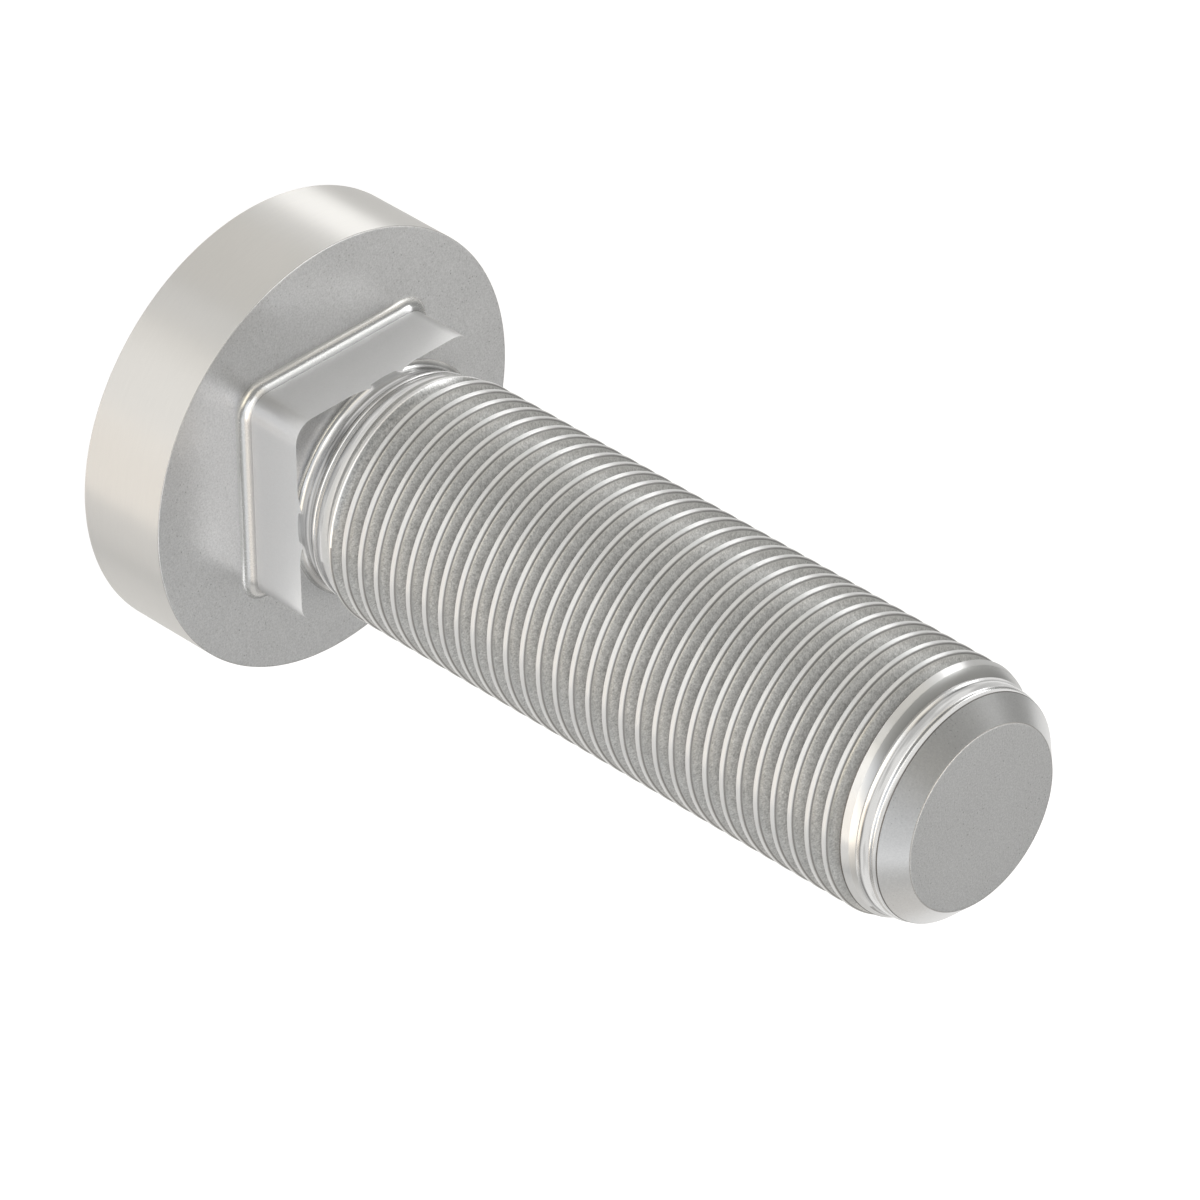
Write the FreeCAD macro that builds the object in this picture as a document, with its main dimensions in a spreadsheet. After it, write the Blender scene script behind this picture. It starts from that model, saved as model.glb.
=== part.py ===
# Wheel bolt, forged in one piece: round head, square neck and threaded shank.
# Millimetres. The origin is the centre of the head's outer face, and +Z runs up the shank to the point.
import FreeCAD, Part
import Sketcher
import math
import os

os.makedirs("parts", exist_ok=True)
doc = FreeCAD.newDocument("wheel_bolt")

# Driving dimensions
SIZES = [
    ("thread_dia", 18.0, "outer diameter of the M18 thread"),
    ("thread_pitch", 1.5, "pitch of the fine thread"),
    ("root_factor", 1.22687, "outer less root diameter of the thread, in pitches"),
    ("head_dia", 32.0, "diameter of the round head"),
    ("head_height", 7.1, "head, from its outer face to its seat"),
    ("bolt_reach", 59.0, "from the head's seat to the point"),
    ("neck_across", 16.0, "square neck, across its flats"),
    ("neck_height", 5.0, "square neck, above the seat"),
    ("neck_corner", 1.5, "radius of the neck's four corners"),
    ("seat_fillet", 0.75, "fillet between the neck and the seat"),
    ("shoulder_fillet", 0.5, "fillet between the neck's top and the shank"),
    ("relief_length", 1.0, "unthreaded shank above the neck"),
    ("runout_length", 3.6, "length in which the thread fades at each end"),
    ("point_land", 0.5, "unthreaded land behind the point's chamfer"),
    ("point_chamfer", 1.5, "45 degree chamfer of the point"),
]

# Sizes that follow from them
DERIVED = [
    ("thread_radius", "=thread_dia / 2", "radius at the thread's crest"),
    ("root_radius", "=(thread_dia - root_factor * thread_pitch) / 2", "radius at the thread's root"),
    ("neck_top", "=head_height + neck_height", "height of the neck's top face"),
    ("runout_start", "=neck_top + relief_length", "where the thread begins to rise"),
    ("thread_start", "=runout_start + runout_length", "where the thread is full"),
    ("point_height", "=head_height + bolt_reach", "overall length"),
    ("chamfer_start", "=point_height - point_chamfer", "where the point's chamfer begins"),
    ("runout_end", "=chamfer_start - point_land", "where the thread has faded"),
    ("thread_end", "=runout_end - runout_length", "where the thread begins to fade"),
]

sheet = doc.addObject("Spreadsheet::Sheet", "sizes")
for row, (alias, value, meaning) in enumerate(SIZES + DERIVED, start=1):
    sheet.set(f"A{row}", meaning)
    sheet.set(f"B{row}", str(value))
    sheet.setAlias(f"B{row}", alias)
doc.recompute()

bolt = doc.addObject("PartDesign::Body", "wheel_bolt")
bolt.Label = "wheel_bolt"


def add_sketch(name, role, height=None):
    """A sketch on one of the bolt's origin planes, raised to a height in the sheet."""
    sketch = bolt.newObject("Sketcher::SketchObject", name)
    planes = {feature.Role: feature for feature in bolt.Origin.OriginFeatures}
    sketch.AttachmentSupport = [(planes[role], "")]
    sketch.MapMode = "FlatFace"
    if height:
        sketch.setExpression("AttachmentOffset.Base.z", height)
    return sketch


def drive(sketch, formula, kind, *points):
    """A dimension of the sketch that the sheet drives."""
    value = sketch.evalExpression(formula)
    index = sketch.addConstraint(Sketcher.Constraint(kind, *points, value))
    sketch.setExpression(f"Constraints[{index}]", formula)


def add_outline(sketch, corners, hollow=None):
    """A closed outline whose corners two formulas place from the origin.

    Its sides are straight, but the last is a hollow quarter circle where a radius is given.
    """
    places = [
        FreeCAD.Vector(sketch.evalExpression(across), sketch.evalExpression(up), 0)
        for across, up in corners
    ]
    last = len(corners) - 1
    for index, place in enumerate(places):
        if hollow and index == last:
            middle = FreeCAD.Vector(places[0].x, place.y, 0)
            circle = Part.Circle(middle, FreeCAD.Vector(0, 0, 1), sketch.evalExpression(hollow))
            sketch.addGeometry(Part.ArcOfCircle(circle, math.pi, 1.5 * math.pi))
        else:
            sketch.addGeometry(Part.LineSegment(place, places[(index + 1) % len(places)]))
        if index:
            sketch.addConstraint(Sketcher.Constraint("Coincident", index - 1, 2, index, 1))
    sketch.addConstraint(Sketcher.Constraint("Coincident", last, 2, 0, 1))
    for index, (across, up) in enumerate(corners):
        if across == "0":
            sketch.addConstraint(Sketcher.Constraint("PointOnObject", index, 1, -2))
        else:
            drive(sketch, across, "DistanceX", -1, 1, index, 1)
        drive(sketch, up, "DistanceY", -1, 1, index, 1)
    if hollow:
        drive(sketch, hollow, "Radius", last)


def add_feature(kind, name, sketch=None, **formulas):
    """A feature of the bolt, on its sketch if it has one, with sizes that the sheet drives."""
    feature = bolt.newObject(f"PartDesign::{kind}", name)
    if sketch:
        feature.Profile = sketch
    for size, formula in formulas.items():
        feature.setExpression(size, formula)
    return feature


def add_turned(kind, name, sketch):
    """A full turn of a sketch about the shank's axis."""
    feature = add_feature(kind, name, sketch)
    feature.ReferenceAxis = (sketch, ["V_Axis"])
    feature.Angle = 360
    doc.recompute()
    return feature


def add_fillet(name, radius, wanted):
    """A fillet on the edges of the finished body that the test picks."""
    base = bolt.Tip
    edges = base.Shape.Edges
    picked = [f"Edge{number}" for number, edge in enumerate(edges, start=1) if wanted(edge)]
    fillet = add_feature("Fillet", name, Radius=radius)
    fillet.Base = (base, picked)
    doc.recompute()
    return fillet


def is_upright(edge):
    """An upright edge of the neck: two ends, one above the other."""
    ends = edge.Vertexes
    return len(ends) == 2 and ends[0].Point.sub(ends[1].Point).cross(FreeCAD.Vector(0, 0, 1)).Length < 1e-6


def is_neck_foot(edge):
    """An edge where the neck meets the seat, inside the head's rim."""
    box = edge.BoundBox
    flat = abs(box.ZMin - sheet.get("head_height")) < 1e-6 and box.ZLength < 1e-6
    return flat and box.DiagonalLength < sheet.get("head_dia")


# The head is a plain disc with a sharp rim
head_circle = add_sketch("head_circle", "XY_Plane")
centre = FreeCAD.Vector(0, 0, 0)
upward = FreeCAD.Vector(0, 0, 1)
head_circle.addGeometry(Part.Circle(centre, upward, head_circle.evalExpression("sizes.head_dia / 2")))
head_circle.addConstraint(Sketcher.Constraint("Coincident", 0, 3, -1, 1))
drive(head_circle, "sizes.head_dia", "Diameter", 0)
head = add_feature("Pad", "head", head_circle, Length="sizes.head_height")
doc.recompute()

# The square neck on the seat keeps the bolt from turning in its hole; its upright corners are rounded
neck_square = add_sketch("neck_square", "XY_Plane", height="sizes.head_height")
add_outline(neck_square, [
    ("sizes.neck_across / 2", "sizes.neck_across / 2"),
    ("-sizes.neck_across / 2", "sizes.neck_across / 2"),
    ("-sizes.neck_across / 2", "-sizes.neck_across / 2"),
    ("sizes.neck_across / 2", "-sizes.neck_across / 2"),
])
neck = add_feature("Pad", "neck", neck_square, Length="sizes.neck_height + sizes.shoulder_fillet")
doc.recompute()
add_fillet("neck_corners", "sizes.neck_corner", is_upright)

# The neck's top is turned to a shoulder, with a hollow fillet up to the shank where the flats leave room
shoulder_cut = add_sketch("shoulder_cut", "XZ_Plane")
shoulder_edge = "sizes.root_radius + sizes.shoulder_fillet"
fillet_top = "sizes.neck_top + sizes.shoulder_fillet"
add_outline(shoulder_cut, [
    (shoulder_edge, "sizes.neck_top"),
    ("sizes.neck_across", "sizes.neck_top"),
    ("sizes.neck_across", fillet_top),
    ("sizes.root_radius", fillet_top),
], hollow="sizes.shoulder_fillet")
shoulder = add_turned("Groove", "shoulder", shoulder_cut)

# The shank: relief at root diameter, thread blank with tapered ends, land and chamfered point
shank_outline = add_sketch("shank_outline", "XZ_Plane")
add_outline(shank_outline, [
    ("0", "sizes.neck_top"),
    ("sizes.root_radius", "sizes.neck_top"),
    ("sizes.root_radius", "sizes.runout_start"),
    ("sizes.thread_radius", "sizes.thread_start"),
    ("sizes.thread_radius", "sizes.thread_end"),
    ("sizes.root_radius", "sizes.runout_end"),
    ("sizes.root_radius", "sizes.chamfer_start"),
    ("sizes.root_radius - sizes.point_chamfer", "sizes.point_height"),
    ("0", "sizes.point_height"),
])
shank = add_turned("Revolution", "shank", shank_outline)

# A hollow fillet runs round the foot of the neck
add_fillet("seat_fillet", "sizes.seat_fillet", is_neck_foot)
doc.recompute()

# Nothing is written unless every object is sound and each turned feature did its work
for item in doc.Objects:
    if "Invalid" in item.State or "Error" in item.State:
        raise RuntimeError(f"{item.Name} failed: {item.State}")
if shoulder.Shape.Volume >= shoulder.BaseFeature.Shape.Volume:
    raise RuntimeError("the shoulder cut removed nothing")
if shank.Shape.Volume <= shoulder.Shape.Volume:
    raise RuntimeError("the shank added nothing")

shape = bolt.Shape
if shape.isNull() or not shape.isValid() or len(shape.Solids) != 1:
    raise RuntimeError("the bolt is not one valid solid")
shape.exportStep(f"parts/{bolt.Label}.step")
print(f"{bolt.Label}: {shape.Volume:.1f} mm3, {shape.BoundBox.XLength:.2f} x "
      f"{shape.BoundBox.YLength:.2f} x {shape.BoundBox.ZLength:.2f} mm")
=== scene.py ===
import math
import bmesh
import bpy
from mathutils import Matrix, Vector


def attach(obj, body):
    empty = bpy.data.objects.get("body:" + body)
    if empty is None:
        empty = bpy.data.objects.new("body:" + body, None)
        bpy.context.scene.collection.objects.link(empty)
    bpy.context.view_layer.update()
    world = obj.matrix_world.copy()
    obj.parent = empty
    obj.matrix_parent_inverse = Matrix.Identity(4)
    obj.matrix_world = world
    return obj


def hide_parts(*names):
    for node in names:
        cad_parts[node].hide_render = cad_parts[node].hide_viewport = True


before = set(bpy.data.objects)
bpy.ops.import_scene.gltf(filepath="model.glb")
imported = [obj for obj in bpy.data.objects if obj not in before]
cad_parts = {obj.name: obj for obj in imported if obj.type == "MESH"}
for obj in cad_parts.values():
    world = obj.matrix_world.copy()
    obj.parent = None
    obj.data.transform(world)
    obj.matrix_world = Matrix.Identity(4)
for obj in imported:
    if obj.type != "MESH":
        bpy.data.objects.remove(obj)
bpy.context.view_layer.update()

MM = 0.001


# Threaded shank
# The long part of the bolt, of steel, rolled with a right-hand M18 x 1.5 thread. The ridge rises
# from a plain land near the neck. Near the point it is cut lower and lower, and the groove ends.
thread_radius = 9.0 * MM
root_radius = 8.08 * MM
pitch = 1.5 * MM
crest_width = 0.30 * MM
crest_chamfer = 0.12 * MM
crest_rounding = crest_chamfer * 0.35
root_width = 0.06 * MM
round_share = 0.3
foot_land_radius = 8.45 * MM
foot_fade = 1.4 * MM
end_land_radius = 8.34 * MM
crest_fade = 1.3 * MM
groove_fade = 0.4 * MM
shank_foot_z = 14.7 * MM
shank_end_z = 63.05 * MM
crest_at_camera_z = 17.2 * MM
camera_bearing = math.radians(-135.6)
columns = 216
near = 0.001 * MM
merge_gap = 0.0005 * MM
tiny = 0.0001 * MM

chamfer_radius = thread_radius - crest_chamfer
rounding_radius = thread_radius - crest_chamfer * round_share
ridge_profile = [
    (root_radius, -pitch / 2),
    (root_radius, -pitch / 2 + root_width / 2),
    (chamfer_radius, -crest_width / 2 - crest_chamfer),
    (rounding_radius, -crest_width / 2 - crest_rounding),
    (thread_radius, -crest_width / 2),
    (thread_radius, crest_width / 2),
    (rounding_radius, crest_width / 2 + crest_rounding),
    (chamfer_radius, crest_width / 2 + crest_chamfer),
    (root_radius, pitch / 2 - root_width / 2),
    (root_radius, pitch / 2),
]

bpy.ops.object.select_all(action="DESELECT")
crest_z = crest_at_camera_z - pitch * camera_bearing / math.tau
first_crest_z = crest_z - pitch * math.ceil((crest_z - shank_foot_z) / pitch + 1)
turns = math.ceil((shank_end_z - first_crest_z) / pitch) + 1
bpy.ops.mesh.primitive_plane_add(size=MM, enter_editmode=True, location=(0, 0, 0))
bpy.ops.mesh.merge(type="CENTER")
radius, height = ridge_profile[0]
bpy.ops.transform.translate(value=(radius, 0, first_crest_z + height))
for (radius, height), (next_radius, next_height) in zip(ridge_profile, ridge_profile[1:]):
    step = (next_radius - radius, 0, next_height - height)
    bpy.ops.mesh.extrude_vertices_move(TRANSFORM_OT_translate={"value": step})
bpy.ops.object.mode_set(mode="OBJECT")
bolt = bpy.context.object
bolt.name = "bolt"

screw = bolt.modifiers.new("thread", "SCREW")
screw.axis = "Z"
screw.angle = math.tau
screw.screw_offset = pitch
screw.iterations = turns
screw.steps = columns
screw.render_steps = columns
screw.use_merge_vertices = True
screw.merge_threshold = near
bpy.ops.object.modifier_apply(modifier="thread")


def run_out(radius, height):
    """The radius at a place of the thread, which rises at the neck and is cut off near the point."""
    share = min(1.0, max(0.0, height - shank_foot_z) / foot_fade)
    radius = foot_land_radius + (radius - foot_land_radius) * share
    left = max(0.0, shank_end_z - height)
    top = end_land_radius + (thread_radius - end_land_radius) * left / crest_fade
    bottom = end_land_radius - (end_land_radius - root_radius) * left / groove_fade
    return max(min(radius, top), bottom)


for vertex in bolt.data.vertices:
    x, y, z = vertex.co
    radius = math.hypot(x, y)
    stretch = run_out(radius, z) / radius
    vertex.co = (x * stretch, y * stretch, min(max(z, shank_foot_z), shank_end_z))

bpy.ops.object.mode_set(mode="EDIT")
bpy.ops.mesh.select_all(action="SELECT")
bpy.ops.mesh.remove_doubles(threshold=merge_gap)
bpy.ops.mesh.dissolve_degenerate(threshold=tiny)


# Point
# The steel end that goes into the nut first: a land with soft steps down to the root diameter, a
# 45 degree chamfer turned before rolling, and a flat faced end, with edges that are only just broken.
chamfer_start_z = 64.6 * MM
point_z = 66.1 * MM
point_chamfer = 1.5 * MM
edge_break = 0.04 * MM
edge_rounding = edge_break * round_share
edge_margin = 0.12 * MM
end_radius = root_radius - point_chamfer
face_rings = (0.7, 0.35)
end_land = [
    (8.36, 63.10), (8.34, 63.18), (8.27, 63.28), (8.24, 63.40), (8.25, 63.56), (8.25, 63.80),
    (8.24, 64.00), (8.22, 64.10), (8.17, 64.17), (8.11, 64.22), (8.08, 64.28),
]


def select_ring(height):
    """Selects the open ring of edges at a height of the skin."""
    bpy.ops.mesh.select_all(action="DESELECT")
    skin = bmesh.from_edit_mesh(bolt.data)
    for edge in skin.edges:
        level = all(abs(vertex.co.z - height) < near for vertex in edge.verts)
        if edge.is_boundary and level:
            edge.select_set(True)
    skin.select_flush_mode()
    bmesh.update_edit_mesh(bolt.data)


def extrude_ring(place):
    """Extrudes the selected ring and moves each new vertex to its place."""
    bpy.ops.mesh.extrude_edges_move()
    skin = bmesh.from_edit_mesh(bolt.data)
    for vertex in skin.verts:
        if vertex.select:
            vertex.co = place(vertex.co)
    bmesh.update_edit_mesh(bolt.data)


def polar(bearing, radius, height):
    """The point at a bearing, a distance from the bolt's axis and a height."""
    return Vector((radius * math.cos(bearing), radius * math.sin(bearing), height))


def extrude_round(radius, height):
    """Extrudes the selected ring to a circle about the bolt's axis."""
    extrude_ring(lambda corner: polar(math.atan2(corner.y, corner.x), radius, height))


def close_face(radius, height):
    """Closes a flat round face with rings that get smaller, and a corner in its middle."""
    for share in face_rings:
        extrude_round(radius * share, height)
    bpy.ops.mesh.merge(type="CENTER")


# Beside each broken edge, a ring a margin further in keeps the flat surface's shading flat
select_ring(shank_end_z)
for radius, height in end_land:
    extrude_round(radius * MM, height * MM)
for radius, height in [
    (root_radius, chamfer_start_z - edge_break),
    (root_radius - edge_rounding, chamfer_start_z + edge_rounding),
    (root_radius - edge_break, chamfer_start_z + edge_break),
    (root_radius - edge_margin, chamfer_start_z + edge_margin),
    (end_radius + edge_margin, point_z - edge_margin),
    (end_radius + edge_break, point_z - edge_break),
    (end_radius + edge_rounding, point_z - edge_rounding),
    (end_radius - edge_break, point_z),
    (end_radius - edge_margin, point_z),
]:
    extrude_round(radius, height)
close_face(end_radius, point_z)


# Neck
# The steel square that stops the bolt from turning, forged with the head, with rounded corners. Its
# top is turned flat, with a small hollow fillet to the shank, which is turned down to the root
# diameter there in soft steps. The flats cut the fillet off at their middles.
neck_half = 8.0 * MM
neck_corner = 1.5 * MM
neck_top_z = 12.1 * MM
seat_z = 7.1 * MM
shoulder_fillet = 0.5 * MM
seat_fillet = 0.75 * MM
fillet_steps = 10
relief_end_z = neck_top_z + shoulder_fillet * 1.3
bearing_slack = 1e-4
foot_steps = [
    (8.45, 14.34), (8.43, 14.26), (8.36, 14.20), (8.26, 14.16), (8.20, 14.10), (8.19, 14.04),
    (8.24, 13.99), (8.34, 13.95), (8.39, 13.89), (8.40, 13.80), (8.38, 13.70), (8.32, 13.60),
    (8.22, 13.52), (8.12, 13.46), (8.08, 13.38), (8.08, 13.28), (8.09, 13.18), (8.12, 13.08),
    (8.12, 12.94), (8.10, 12.84), (8.08, 12.78),
]

# Of an eighth turn's 27 columns, the fifth goes to where the flat leaves the shank, and the
# twenty-fourth to where the rounded corner starts
corner_centre = neck_half - neck_corner
corner_start = math.atan2(corner_centre, neck_half)
core_end = math.acos(neck_half / root_radius)
core_column, corner_column, middle_column = 5, 24, 27
column_moves = [
    (0.0, 0.0),
    (math.tau * core_column / columns, core_end),
    (math.tau * corner_column / columns, corner_start),
    (math.tau * middle_column / columns, math.pi / 4),
]


def neck_bearing(bearing):
    """The bearing moved a little, so that columns meet the ends of the rounded corners."""
    offset = math.remainder(bearing, math.pi / 2)
    for (start, new_start), (end, new_end) in zip(column_moves, column_moves[1:]):
        if abs(offset) <= end + bearing_slack:
            share = (abs(offset) - start) / (end - start)
            moved = new_start + share * (new_end - new_start)
            return bearing - offset + math.copysign(moved, offset)


def neck_reach(bearing):
    """How far the neck's outline is from the axis at a bearing."""
    offset = abs(math.remainder(bearing, math.pi / 2))
    if offset <= corner_start:
        return neck_half / math.cos(offset)
    diagonal = corner_centre * math.sqrt(2)
    turn = math.pi / 4 - offset
    return diagonal * math.cos(turn) + math.sqrt(neck_corner ** 2 - (diagonal * math.sin(turn)) ** 2)


def shoulder_point(corner, share):
    """A point of the hollow fillet below a corner of the skin, as far as the flats leave it."""
    bearing = math.atan2(corner.y, corner.x)
    reach = neck_reach(bearing)
    centre_z = neck_top_z + shoulder_fillet
    if reach <= root_radius + tiny:
        return polar(bearing, root_radius, centre_z - share * shoulder_fillet)
    overlap = max(0.0, root_radius + shoulder_fillet - reach)
    turn = share * math.acos(overlap / shoulder_fillet)
    radius = root_radius + shoulder_fillet * (1 - math.cos(turn))
    return polar(bearing, radius, centre_z - shoulder_fillet * math.sin(turn))


def neck_edge_point(corner):
    """The neck's top edge beside a corner of the skin, which dips where a flat cuts the fillet."""
    bearing = math.atan2(corner.y, corner.x)
    reach = neck_reach(bearing)
    cut = reach - root_radius > tiny and corner.z > neck_top_z + tiny
    return polar(bearing, reach, corner.z if cut else neck_top_z)


def neck_side_point(corner, offset, height):
    """The point beside a corner of the skin that stands off the neck's outline, at a height."""
    middle = Vector((
        min(max(corner.x, -corner_centre), corner_centre),
        min(max(corner.y, -corner_centre), corner_centre),
        height,
    ))
    outward = Vector((corner.x - middle.x, corner.y - middle.y, 0)).normalized()
    return middle + outward * (neck_corner + offset)


def relief_end_point(corner):
    """The point below a corner of the skin where the shank meets the hollow fillet's start."""
    return polar(neck_bearing(math.atan2(corner.y, corner.x)), root_radius, relief_end_z)


select_ring(shank_foot_z)
for radius, height in foot_steps:
    extrude_round(radius * MM, height * MM)
extrude_ring(relief_end_point)
for step in range(fillet_steps + 1):
    extrude_ring(lambda corner: shoulder_point(corner, step / fillet_steps))
extrude_ring(neck_edge_point)
for step in range(fillet_steps + 1):
    turn = math.pi / 2 * step / fillet_steps
    offset = seat_fillet * (1 - math.cos(turn))
    height = seat_z + seat_fillet * (1 - math.sin(turn))
    extrude_ring(lambda corner: neck_side_point(corner, offset, height))
extrude_ring(lambda corner: neck_side_point(corner, seat_fillet + edge_margin, seat_z))


# Head
# A plain round disc of steel, upset from the bar in one blow with the neck. Its seat lies on the
# hub, its side is turned, and its rims are sharp to the eye.
head_radius = 16.0 * MM
smooth_below = math.radians(35)

for radius, height in [
    (head_radius - edge_margin, seat_z),
    (head_radius - edge_break, seat_z),
    (head_radius - edge_rounding, seat_z - edge_rounding),
    (head_radius, seat_z - edge_break),
    (head_radius, seat_z - edge_margin),
    (head_radius, edge_margin),
    (head_radius, edge_break),
    (head_radius - edge_rounding, edge_rounding),
    (head_radius - edge_break, 0),
    (head_radius - edge_margin, 0),
]:
    extrude_round(radius, height)
close_face(head_radius, 0)

bpy.ops.mesh.select_all(action="SELECT")
bpy.ops.mesh.remove_doubles(threshold=merge_gap)
bpy.ops.mesh.dissolve_degenerate(threshold=tiny)
bpy.ops.mesh.select_all(action="SELECT")
bpy.ops.mesh.normals_make_consistent(inside=False)
bpy.ops.object.mode_set(mode="OBJECT")


def on_chamfer_foot(corner):
    """Whether a corner lies where the chamfer of the full thread's crest meets the flank."""
    on_foot = abs(math.hypot(corner.x, corner.y) - chamfer_radius) < near
    return on_foot and shank_foot_z < corner.z < shank_end_z


for edge in bolt.data.edges:
    edge.use_edge_sharp = all(
        on_chamfer_foot(bolt.data.vertices[index].co) for index in edge.vertices)
bpy.ops.object.shade_smooth_by_angle(angle=smooth_below, keep_sharp_edges=True)
bolt.modifiers.new("even_normals", "WEIGHTED_NORMAL").keep_sharp = True
bpy.ops.object.modifier_apply(modifier="even_normals")


# Steel
# Bare bright steel in the finishes that its making leaves: flat faces fine-grained, rim turned, neck
# smooth from the forging die, thread rolled with burnished crests, and steps and fillets polished.
# The broken edges are darker. Light and shade are also painted into the colour: the neck's steel is
# painted lighter than the rest, with painted shade on its corners; the flanks get painted shade
# towards the roots; the polished steps get painted dark reflections, in blotches and thin lines; and
# very dark painted shade lies in thin lines beside each crest, on the head side of the last turn's
# crest and where the chamfer starts.
speck_scale = 8500.0
pore_scale = 3600.0
cloud_scale = 260.0
speck_contrast = 4
cloud_contrast = 0.3
speck_roughness = 0.10
cloud_roughness = 0.02
level_lines = (0.1, 0.1, 1)


class Socket:
    """A socket of a material's nodes: expressions on it add Math nodes."""

    def __init__(self, tree, output=None):
        self.tree = tree
        self.output = output

    def node(self, kind, settings=None, inputs=None, output=0):
        """A new node: its settings are set first, then its inputs get values or links."""
        made = self.tree.nodes.new("ShaderNode" + kind)
        for name, value in (settings or {}).items():
            setattr(made, name, value)
        for name, value in (inputs or {}).items():
            if isinstance(value, Socket):
                self.tree.links.new(value.output, made.inputs[name])
            else:
                made.inputs[name].default_value = value
        return Socket(self.tree, made.outputs[output] if made.outputs else None)

    def maths(self, operation, first, second):
        """A Math node on two values."""
        return self.node("Math", {"operation": operation}, {0: first, 1: second})

    def __add__(self, other):
        return self.maths("ADD", self, other)

    def __sub__(self, other):
        return self.maths("SUBTRACT", self, other)

    def __rsub__(self, other):
        return self.maths("SUBTRACT", other, self)

    def __abs__(self):
        return self.maths("ABSOLUTE", self, 0.0)

    def __mul__(self, other):
        return self.maths("MULTIPLY", self, other)

    __radd__ = __add__
    __rmul__ = __mul__


def new_material(name):
    """An empty material, and the blank socket that its nodes start from."""
    material = bpy.data.materials.new(name)
    material.use_nodes = True
    material.node_tree.nodes.clear()
    return material, Socket(material.node_tree)


def add_steel(name, colour, roughness, grain, relief, lines=(1, 1, 1), turned=0.0, fine=0.6,
              where=None, dark=None):
    """A finish of the steel in the bolt's next slot.

    The grain is how much its specks differ in shade, the relief how far they stand up, and the lines
    how much closer they lie along each axis. A turned finish spreads light across its lines. Fine is
    the share of the finest specks. Where gives how much of the grain there is at a place, and dark
    how much darker the steel is there.
    """
    finish, start = new_material(name)
    place = start.node("TexCoord", output="Object")
    drawn = start.node("Mapping", None, {"Vector": place, "Scale": lines})
    specks = start.node("TexNoise", None, {"Vector": drawn, "Scale": speck_scale, "Detail": 1.0})
    pores = start.node("TexNoise", None, {"Vector": drawn, "Scale": pore_scale, "Detail": 2.0})
    clouds = start.node("TexNoise", None, {"Vector": place, "Scale": cloud_scale, "Detail": 3.0})
    uneven = clouds - 0.5
    rough = fine * specks + (1 - fine) * pores - 0.5
    if where:
        rough = rough * where(place)
    shade = 1 + grain * (speck_contrast * rough + cloud_contrast * uneven)
    if dark:
        shade = shade * (1 - dark(place))
    tint = start.node("VectorMath", {"operation": "SCALE"}, {0: colour, "Scale": shade})
    bump = start.node("Bump", None, {"Height": rough, "Strength": 1.0, "Distance": relief})
    surface = start.node("BsdfPrincipled", None, {
        "Base Color": tint,
        "Metallic": 1.0,
        "Roughness": roughness + cloud_roughness * uneven + speck_roughness * rough,
        "Anisotropic": turned,
        "Anisotropic Rotation": 0.25,
        "Normal": bump,
    })
    start.node("OutputMaterial", None, {"Surface": surface})
    bolt.data.materials.append(finish)


def fade(value, low, high):
    """Rises from 0 to 1 as the value goes from low to high, which may be the smaller."""
    return value.node("MapRange", None, {"Value": value, "From Min": low, "From Max": high})


def from_axis(place):
    """How far a place is from the bolt's axis."""
    flat = place.node("Mapping", None, {"Vector": place, "Scale": (1, 1, 0)})
    return place.node("VectorMath", {"operation": "LENGTH"}, {0: flat}, output="Value")


def height_of(place):
    """How high a place is above the head's outer face."""
    return place.node("SeparateXYZ", None, {"Vector": place}, output="Z")


# Painted shade on the thread's flanks, deeper towards the roots.
root_shade = 0.24
root_shade_radius = thread_radius - 0.3 * MM


def painted_root_shade(place):
    """Painted shade on the flanks: darker towards the roots between the ridges."""
    return root_shade * fade(from_axis(place), root_shade_radius, root_radius)


# Painted dark reflections on the polished steps: soft blotches, and thin dark lines at listed
# heights.
line_shade = 0.5
painted_blotch_shade = 0.35
painted_blotch_scale = 2200.0
painted_blotch_start, painted_blotch_full = 0.48, 0.62
step_lines = [(13.20, 0.16), (14.1, 0.12), (15.1, 0.12), (62.72, 0.15), (63.33, 0.12)]


def painted_step_reflections(place):
    """Painted dark reflections on the steps at both ends of the thread: blotches, and thin lines
    round the bolt.
    """
    height = height_of(place)
    drawn = place.node("Mapping", None, {"Vector": place, "Scale": level_lines})
    painted_blotches = place.node("TexNoise", None, {"Vector": drawn, "Scale": painted_blotch_scale, "Detail": 2.0})
    darkness = painted_blotch_shade * fade(painted_blotches, painted_blotch_start, painted_blotch_full)
    for line_z, half_width in step_lines:
        darkness = darkness + line_shade * fade(abs(height - line_z * MM), half_width * MM, 0)
    return darkness


# Painted shade on the neck's rounded corners.
corner_shade = 0.16
corner_shade_start, corner_shade_full = 10.35 * MM, 10.69 * MM


def painted_corner_shade(place):
    """Painted shade on the neck's corners, which dims their highlight."""
    return corner_shade * fade(from_axis(place), corner_shade_start, corner_shade_full)


flank_top, flank_full = thread_radius - 0.1 * MM, thread_radius - 0.22 * MM
foot_grain_start, foot_grain_full = 14.8 * MM, 15.8 * MM
end_grain_start, end_grain_full = 62.4 * MM, 61.2 * MM


def on_flanks(place):
    """1 on the flanks of the full thread, 0 on its crests and where it has faded."""
    height = height_of(place)
    deep = fade(from_axis(place), flank_top, flank_full)
    from_foot = fade(height, foot_grain_start, foot_grain_full)
    from_end = fade(height, end_grain_start, end_grain_full)
    return deep * from_foot * from_end


add_steel("grained_steel", (0.632, 0.634, 0.642), 0.30, grain=0.13, relief=0.0004 * MM, fine=0.95)
add_steel("turned_steel", (0.69, 0.68, 0.66), 0.45, grain=0.02, relief=0.0001 * MM,
          lines=level_lines, turned=1.0)
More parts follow.
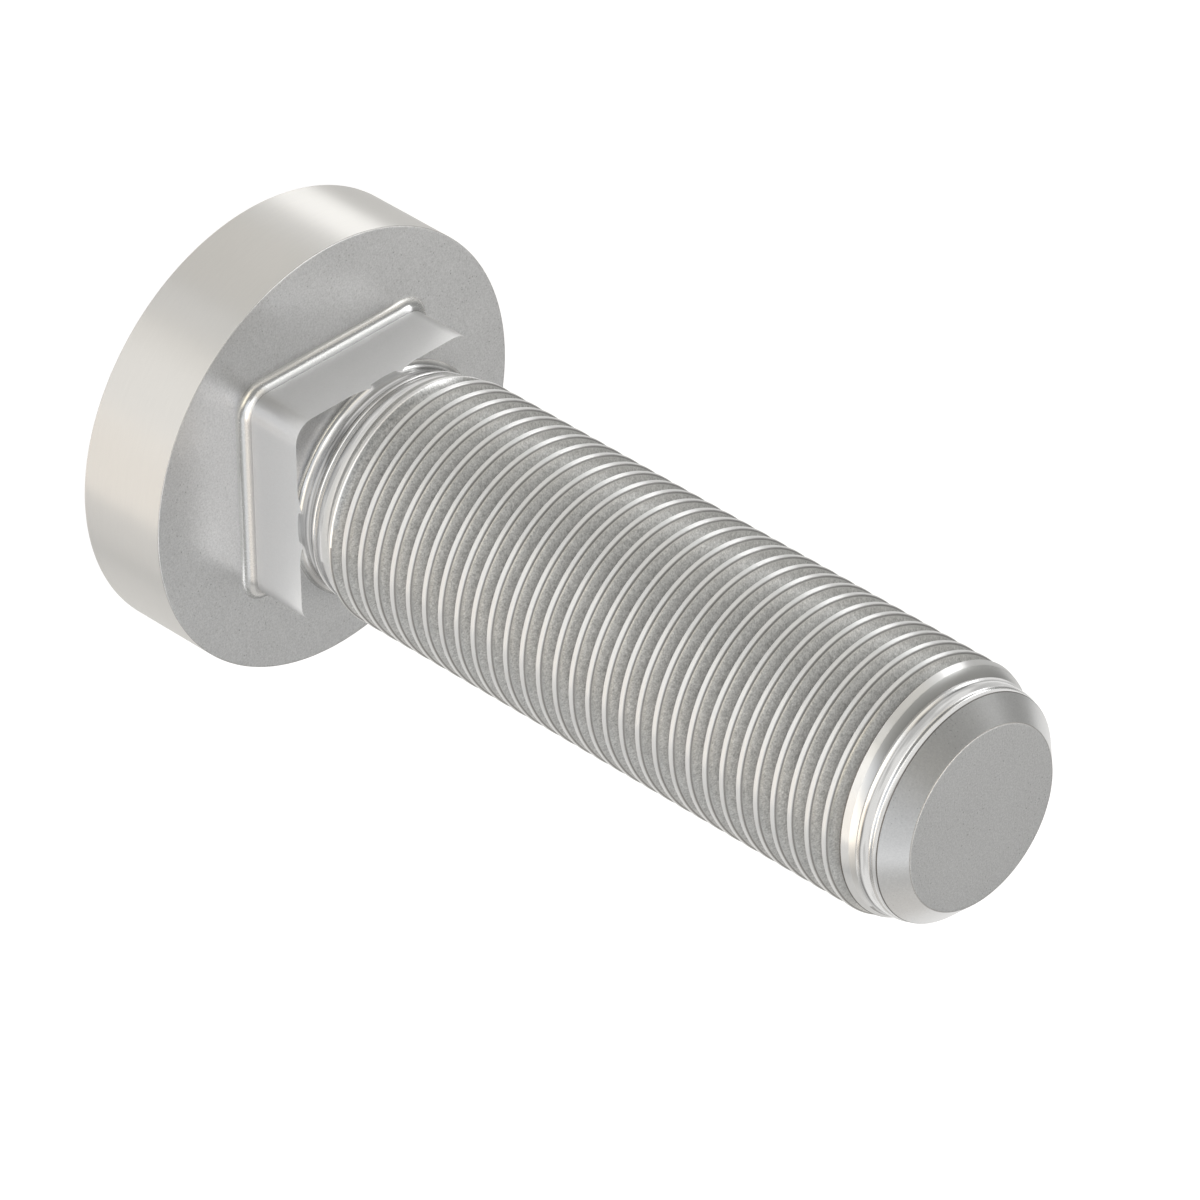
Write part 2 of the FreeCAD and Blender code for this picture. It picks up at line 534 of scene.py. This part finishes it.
# The neck's forged steel, painted lighter than the rest as painted light on its flats, with painted
# shade on its corners.
add_steel("forged_steel_painted_light_and_shade", (0.80, 0.803, 0.805), 0.36, grain=0.03, relief=0.0002 * MM,
          dark=painted_corner_shade)
# Rolled steel with painted shade towards the roots between the ridges.
add_steel("rolled_steel_painted_root_shade", (0.605, 0.605, 0.597), 0.32, grain=0.40, relief=0.002 * MM,
          where=on_flanks, dark=painted_root_shade)
add_steel("burnished_steel", (0.72, 0.72, 0.715), 0.40, grain=0.02, relief=0.0001 * MM,
          lines=level_lines, turned=1.0)
add_steel("chamfer_steel", (0.60, 0.60, 0.60), 0.30, grain=0.07, relief=0.0001 * MM, fine=0.9)
# Very dark steel for thin lines of painted shade: on the head side of the last turn's crest and where
# the chamfer starts.
add_steel("painted_dark_line_steel", (0.14, 0.135, 0.13), 0.50, grain=0.20, relief=0.0003 * MM)
# Polished steel with painted dark reflections on the steps: blotches and thin lines round the bolt.
add_steel("polished_steel_painted_reflections", (0.63, 0.63, 0.627), 0.24, grain=0.02, relief=0.0001 * MM,
          dark=painted_step_reflections)
add_steel("fillet_steel", (0.62, 0.622, 0.62), 0.26, grain=0.02, relief=0.0001 * MM)
# Dark steel for a line of painted dark reflection on the bevel at the point side of each full crest.
add_steel("painted_bevel_steel", (0.29, 0.285, 0.28), 0.45, grain=0.10, relief=0.0003 * MM)
add_steel("broken_steel", (0.45, 0.445, 0.44), 0.45, grain=0.10, relief=0.0003 * MM)
(GRAINED, TURNED, FORGED, ROLLED, BURNISHED, CHAMFERED, PAINTED_DARK_LINE, POLISHED, FILLET, PAINTED_BEVEL,
 BROKEN) = range(len(bolt.data.materials))
upright_below = 0.5
level_above = 0.999


def thread_finish(bearing, height):
    """The finish of the thread at a place: its flank or its crest, or a line of painted shade beside
    them.
    """
    from_crest = math.remainder(height - crest_z - pitch * bearing / math.tau, pitch)
    last_turn = height > shank_end_z - crest_fade
    half_crest = crest_width / 2 + (crest_chamfer if last_turn else 0)
    if abs(from_crest) > half_crest:
        full = height > shank_foot_z + foot_fade
        # The bevel on the point side of a full crest gets a line of painted dark reflection.
        beside = half_crest + crest_rounding < from_crest < half_crest + crest_chamfer
        return PAINTED_BEVEL if full and beside else ROLLED
    # On the last turn, the bevel on the head side of the crest gets a line of painted shade.
    painted_line = last_turn and from_crest < -crest_width / 2 - crest_rounding
    return PAINTED_DARK_LINE if painted_line else BURNISHED


def finish_of(face):
    """The finish of one face of the bolt, from where it lies and how it is turned."""
    height = face.center.z
    reach = math.hypot(face.center.x, face.center.y)
    rim_edge = seat_z - edge_break < height < seat_z and reach > head_radius - edge_break
    end_edge = point_z - edge_break < height < point_z
    if rim_edge or end_edge:
        return BROKEN
    if height < seat_z - edge_break and abs(face.normal.z) < upright_below:
        return TURNED
    if seat_z < height < neck_top_z + shoulder_fillet and face.normal.z < level_above:
        if height > neck_top_z and reach < root_radius + shoulder_fillet:
            return POLISHED
        return FILLET if height < seat_z + seat_fillet else FORGED
    if shank_foot_z < height < shank_end_z:
        return thread_finish(math.atan2(face.center.y, face.center.x), height)
    if neck_top_z < height < chamfer_start_z - edge_break and face.normal.z < level_above:
        return POLISHED
    # Where the chamfer starts, a thin ring of painted shade.
    if chamfer_start_z - edge_break < height < chamfer_start_z + edge_break:
        return PAINTED_DARK_LINE
    if chamfer_start_z < height < point_z - edge_break / 2:
        return CHAMFERED
    return GRAINED


for face in bolt.data.polygons:
    face.material_index = finish_of(face)

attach(bolt, "root")
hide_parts("wheel_bolt")


# Floor
# A wide white table that the bolt stands on, a hair below the head's outer face. The camera, the
# steel and glass see it white, with the bolt's shadow, and it lights the bolt as plain paper does.
floor_width = 6
floor_z = -0.02 * MM

bpy.ops.mesh.primitive_plane_add(size=floor_width, location=(0, 0, floor_z))
floor = bpy.context.object
floor.name = "floor"
paper, start = new_material("white_paper")
seen = start.node("LightPath", output="Is Camera Ray")
glossy = start.node("LightPath", output="Is Glossy Ray")
through = start.node("LightPath", output="Is Transmission Ray")
matt = start.node("BsdfDiffuse", None, {"Color": (0.3, 0.3, 0.3, 1)})
glow = start.node("Emission", None, {"Color": (1, 1, 1, 1), "Strength": 0.8})
plain = start.node("BsdfDiffuse", None, {"Color": (0.8, 0.8, 0.8, 1)})
both = start.node("AddShader", None, {0: matt, 1: glow})
mixed = start.node("MixShader", None, {0: seen + glossy + through, 1: plain, 2: both})
start.node("OutputMaterial", None, {"Surface": mixed})
floor.data.materials.append(paper)


# Lamps
# Soft panels of light round the bolt, plain, a little warm or a little cool, and a pale room. The
# steel mirrors them, so each one's strength sets how bright one side of the bolt is.
room = bpy.data.worlds.new("studio")
bpy.context.scene.world = room
room.use_nodes = True
room.node_tree.nodes["Background"].inputs["Color"].default_value = (1, 1, 0.97, 1)
room.node_tree.nodes["Background"].inputs["Strength"].default_value = 0.38

lamp_distance = 1.0
middle = Vector((0, 0, 33 * MM))


def add_panel(name, turn, rise, width, height, strength, colour=(1, 1, 1)):
    """A soft panel at a turn from the camera's bearing and a rise, of so many degrees across."""
    bearing = camera_bearing + math.radians(turn)
    lift = math.radians(rise)
    towards = polar(bearing, math.cos(lift), math.sin(lift))
    bpy.ops.object.light_add(type="AREA", location=middle + towards * lamp_distance,
                             rotation=towards.to_track_quat("Z", "Y").to_euler())
    panel = bpy.context.object
    panel.name = name
    panel.data.shape = "RECTANGLE"
    panel.data.size = 2 * lamp_distance * math.tan(math.radians(width / 2))
    panel.data.size_y = 2 * lamp_distance * math.tan(math.radians(height / 2))
    panel.data.energy = strength * math.pi * panel.data.size * panel.data.size_y
    panel.data.color = colour


add_panel("left_strip", -99, 10, 21, 24, 3.9)
add_panel("left_side", -82, 12, 16, 26, 1.15)
add_panel("left_low", -51, 12, 42, 26, 0.95, (1, 0.93, 0.82))
add_panel("front_left", -20, 12, 16, 26, 1.37)
add_panel("front_low", 12, 12, 44, 26, 2.33, (1, 0.96, 0.90))
add_panel("right_low", 53, 12, 38, 26, 2.5, (1, 0.89, 0.76))
add_panel("right_side", 82, 12, 26, 26, 0.7, (1, 0.92, 0.84))
add_panel("right_back", 135, 12, 60, 26, 0.47, (1, 0.95, 0.90))
add_panel("front_middle", 25, 38, 40, 26, 0.92, (0.88, 0.92, 1))
add_panel("right_middle", 70, 38, 40, 26, 0.62, (0.92, 0.95, 1))
add_panel("right_back_middle", 110, 38, 40, 26, 0.35)
add_panel("left_back_middle", -150, 38, 40, 26, 0.25, (1, 0.96, 0.90))
add_panel("left_back_high", -135, 62, 45, 28, 0.62, (1, 0.93, 0.82))
add_panel("back_high", 180, 62, 45, 28, 1.6)
add_panel("top", 0, 88, 30, 30, 1.8, (1, 0.90, 0.70))


# Camera
# It stands at the photograph's viewing angle, with a long lens, and looks down on the point's end.
# Its turn is in degrees, its lens and sensor in millimetres.
camera_place = Vector((-0.372271, -0.364560, 0.402024))
camera_turn = (-34.9437, -45.0728, 89.0218)
lens = 294.581
sensor_width = 36
clip_start = 0.01

bpy.ops.object.camera_add(
    location=camera_place, rotation=[math.radians(angle) for angle in camera_turn])
camera = bpy.context.object
camera.data.lens = lens
camera.data.sensor_width = sensor_width
camera.data.clip_start = clip_start
bpy.context.scene.camera = camera

bpy.context.scene.view_settings.view_transform = "Standard"
